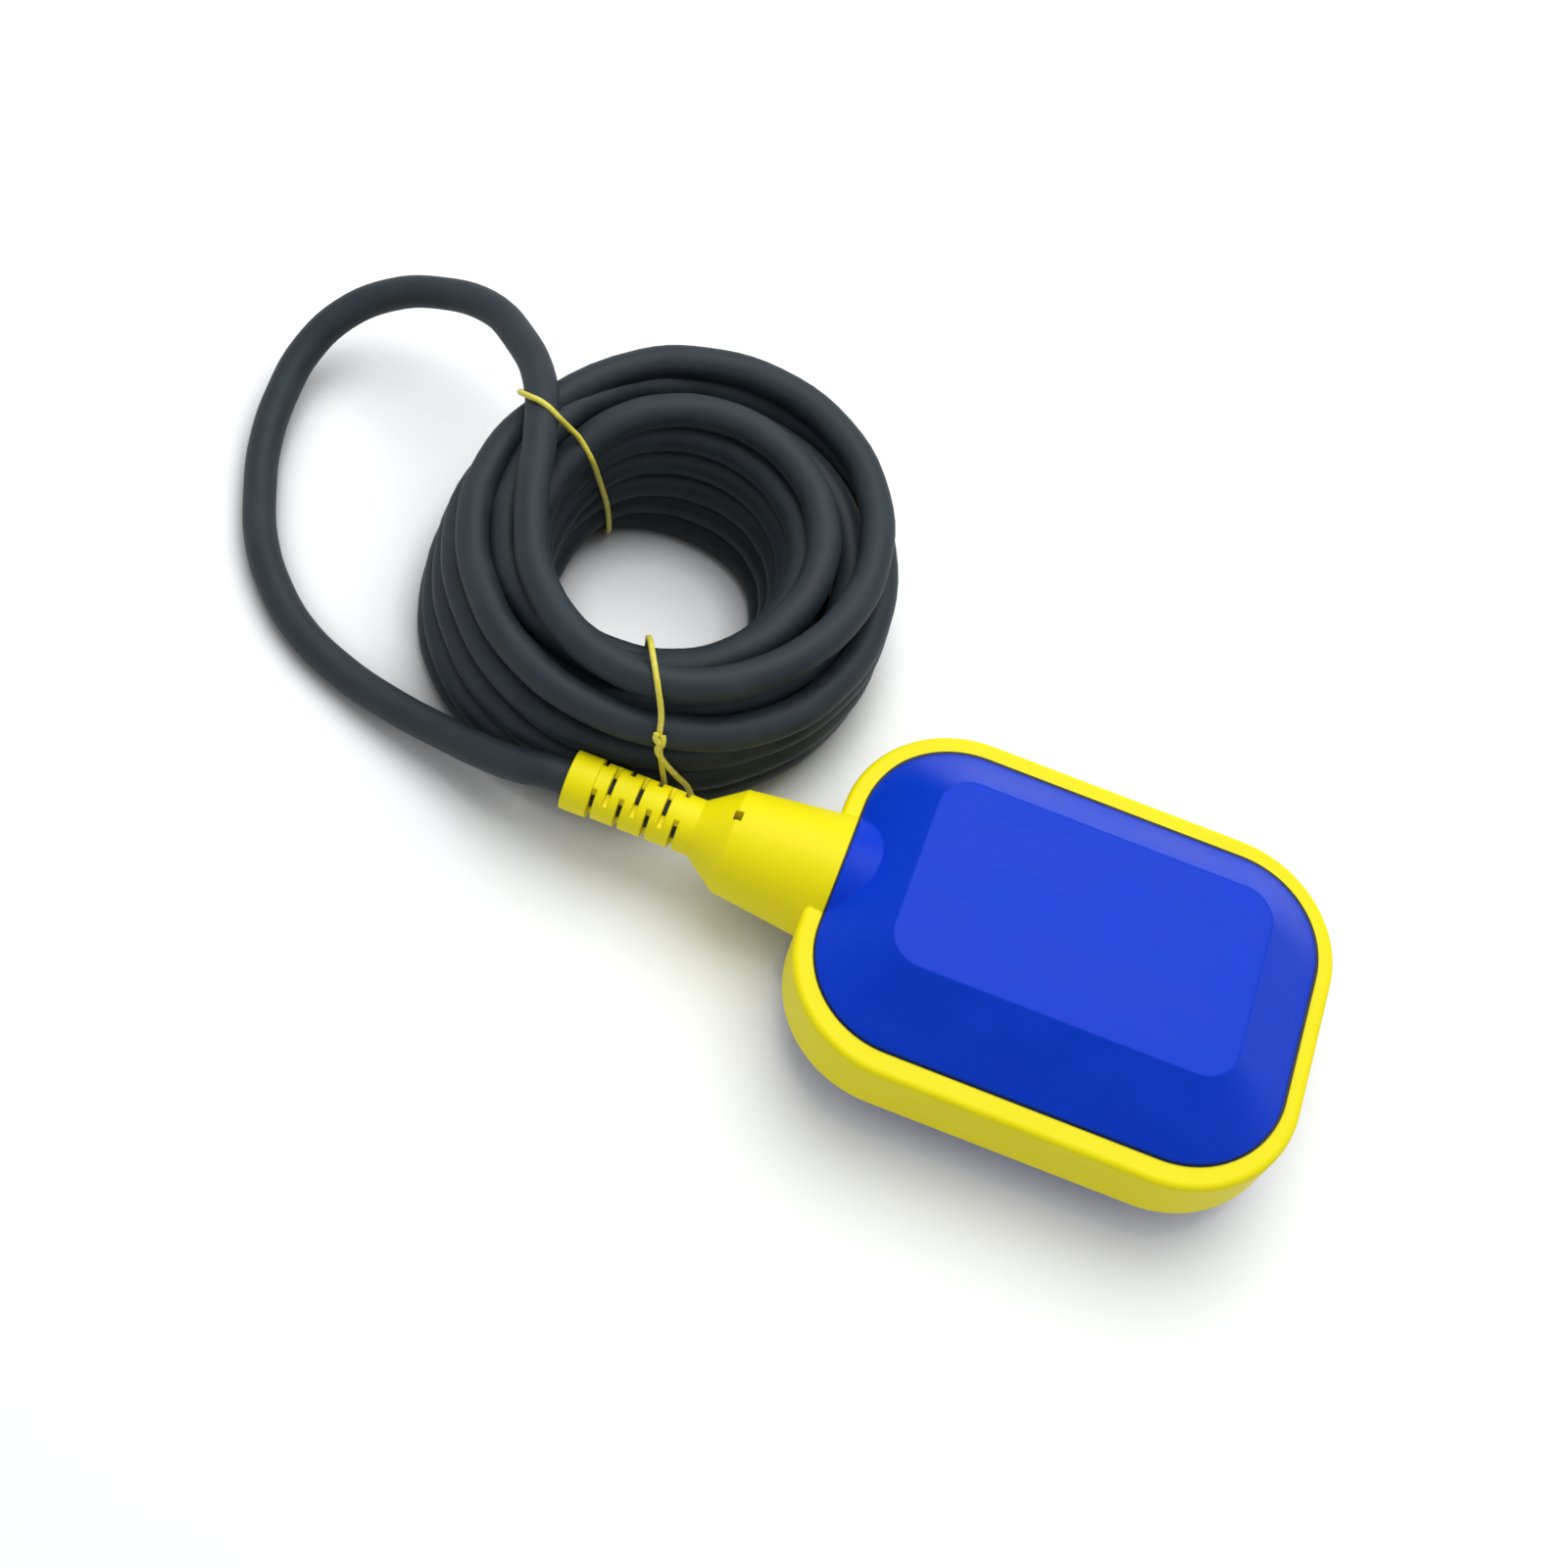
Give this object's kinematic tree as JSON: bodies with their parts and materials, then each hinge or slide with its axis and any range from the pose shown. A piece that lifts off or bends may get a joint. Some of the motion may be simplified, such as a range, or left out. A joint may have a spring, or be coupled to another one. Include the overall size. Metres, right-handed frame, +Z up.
{
  "type": "cable float switch",
  "caption": "Bevelled float on a coiled cable, with a ribbed strain-relief boot and a rolling ball inside that works a small switch as the float tips.",
  "frame": {"origin": "on the floor under the middle of the float with its neck and boot; the free cable is left out of that middle", "axes": "+X along the float away from its cable, +Y across the float towards the coil, +Z up, square to the flat cover faces"},
  "size_m": [0.2622, 0.156, 0.0466],
  "materials": {
    "yellow_shell": "satin moulded polypropylene",
    "blue_shell": "satin moulded polypropylene",
    "seal_rubber": "matte",
    "cable_jacket": "smooth, slightly shiny",
    "grey_plastic": "moulded",
    "white_plastic": "moulded",
    "switch_plastic": "moulded",
    "plunger_plastic": "moulded",
    "screw_steel": "zinc plated",
    "lever_steel": "rolled spring steel",
    "ball_steel": "polished bearing steel",
    "terminal_brass": "stamped",
    "brown_core": "smooth insulation",
    "blue_core": "smooth insulation",
    "black_core": "smooth insulation",
    "tie_wire": "plastic-coated wire"
  },
  "bodies": {
    "float": {"frame": "yellow_shell", "upper_cover": "blue_shell", "lower_cover": "blue_shell", "upper_seal": "seal_rubber", "lower_seal": "seal_rubber", "cable_entry": "cable_jacket", "cable_grommet": "seal_rubber", "cable_clamp": "grey_plastic", "clamp_screw_left": "screw_steel", "clamp_screw_right": "screw_steel", "capsule_base": "white_plastic", "capsule_lid": "white_plastic", "capsule_seal": "seal_rubber", "core_seal": "seal_rubber", "switch_case": "switch_plastic", "lever_pin": "screw_steel", "terminal_common": "terminal_brass", "terminal_open": "terminal_brass", "terminal_closed": "terminal_brass", "switch_screw_near": "screw_steel", "switch_screw_far": "screw_steel", "core_brown": "brown_core", "core_blue": "blue_core", "core_black": "black_core", "cable_lead": "cable_jacket", "cable_coil": "cable_jacket", "cable_tail": "cable_jacket", "end_core_brown": "brown_core", "end_core_blue": "blue_core", "end_core_black": "black_core", "wire_tie_back": "tie_wire", "wire_tie_front": "tie_wire"},
    "ball": {"steel_ball": "ball_steel"},
    "lever": {"switch_lever": "lever_steel"},
    "plunger": {"switch_plunger": "plunger_plastic"}
  },
  "joints": [
    {"name": "ball_roll", "type": "slide", "parent": "float", "child": "ball", "axis": [1, 0, 0], "range_m": [0, 0.012]},
    {"name": "lever_hinge", "type": "hinge", "parent": "float", "child": "lever", "pos_m": [0.01905, -0.00545, 0.0171], "axis": [0, 0, 1], "range_deg": [0, 5]},
    {"name": "plunger_slide", "type": "slide", "parent": "float", "child": "plunger", "axis": [0, 1, 0], "range_m": [0, 0.0007]}
  ],
  "couplings": [
    {"joint": "lever_hinge", "follows": "ball_roll", "rad_per_m": 7.27},
    {"joint": "plunger_slide", "follows": "ball_roll", "ratio": 0.0583}
  ]
}
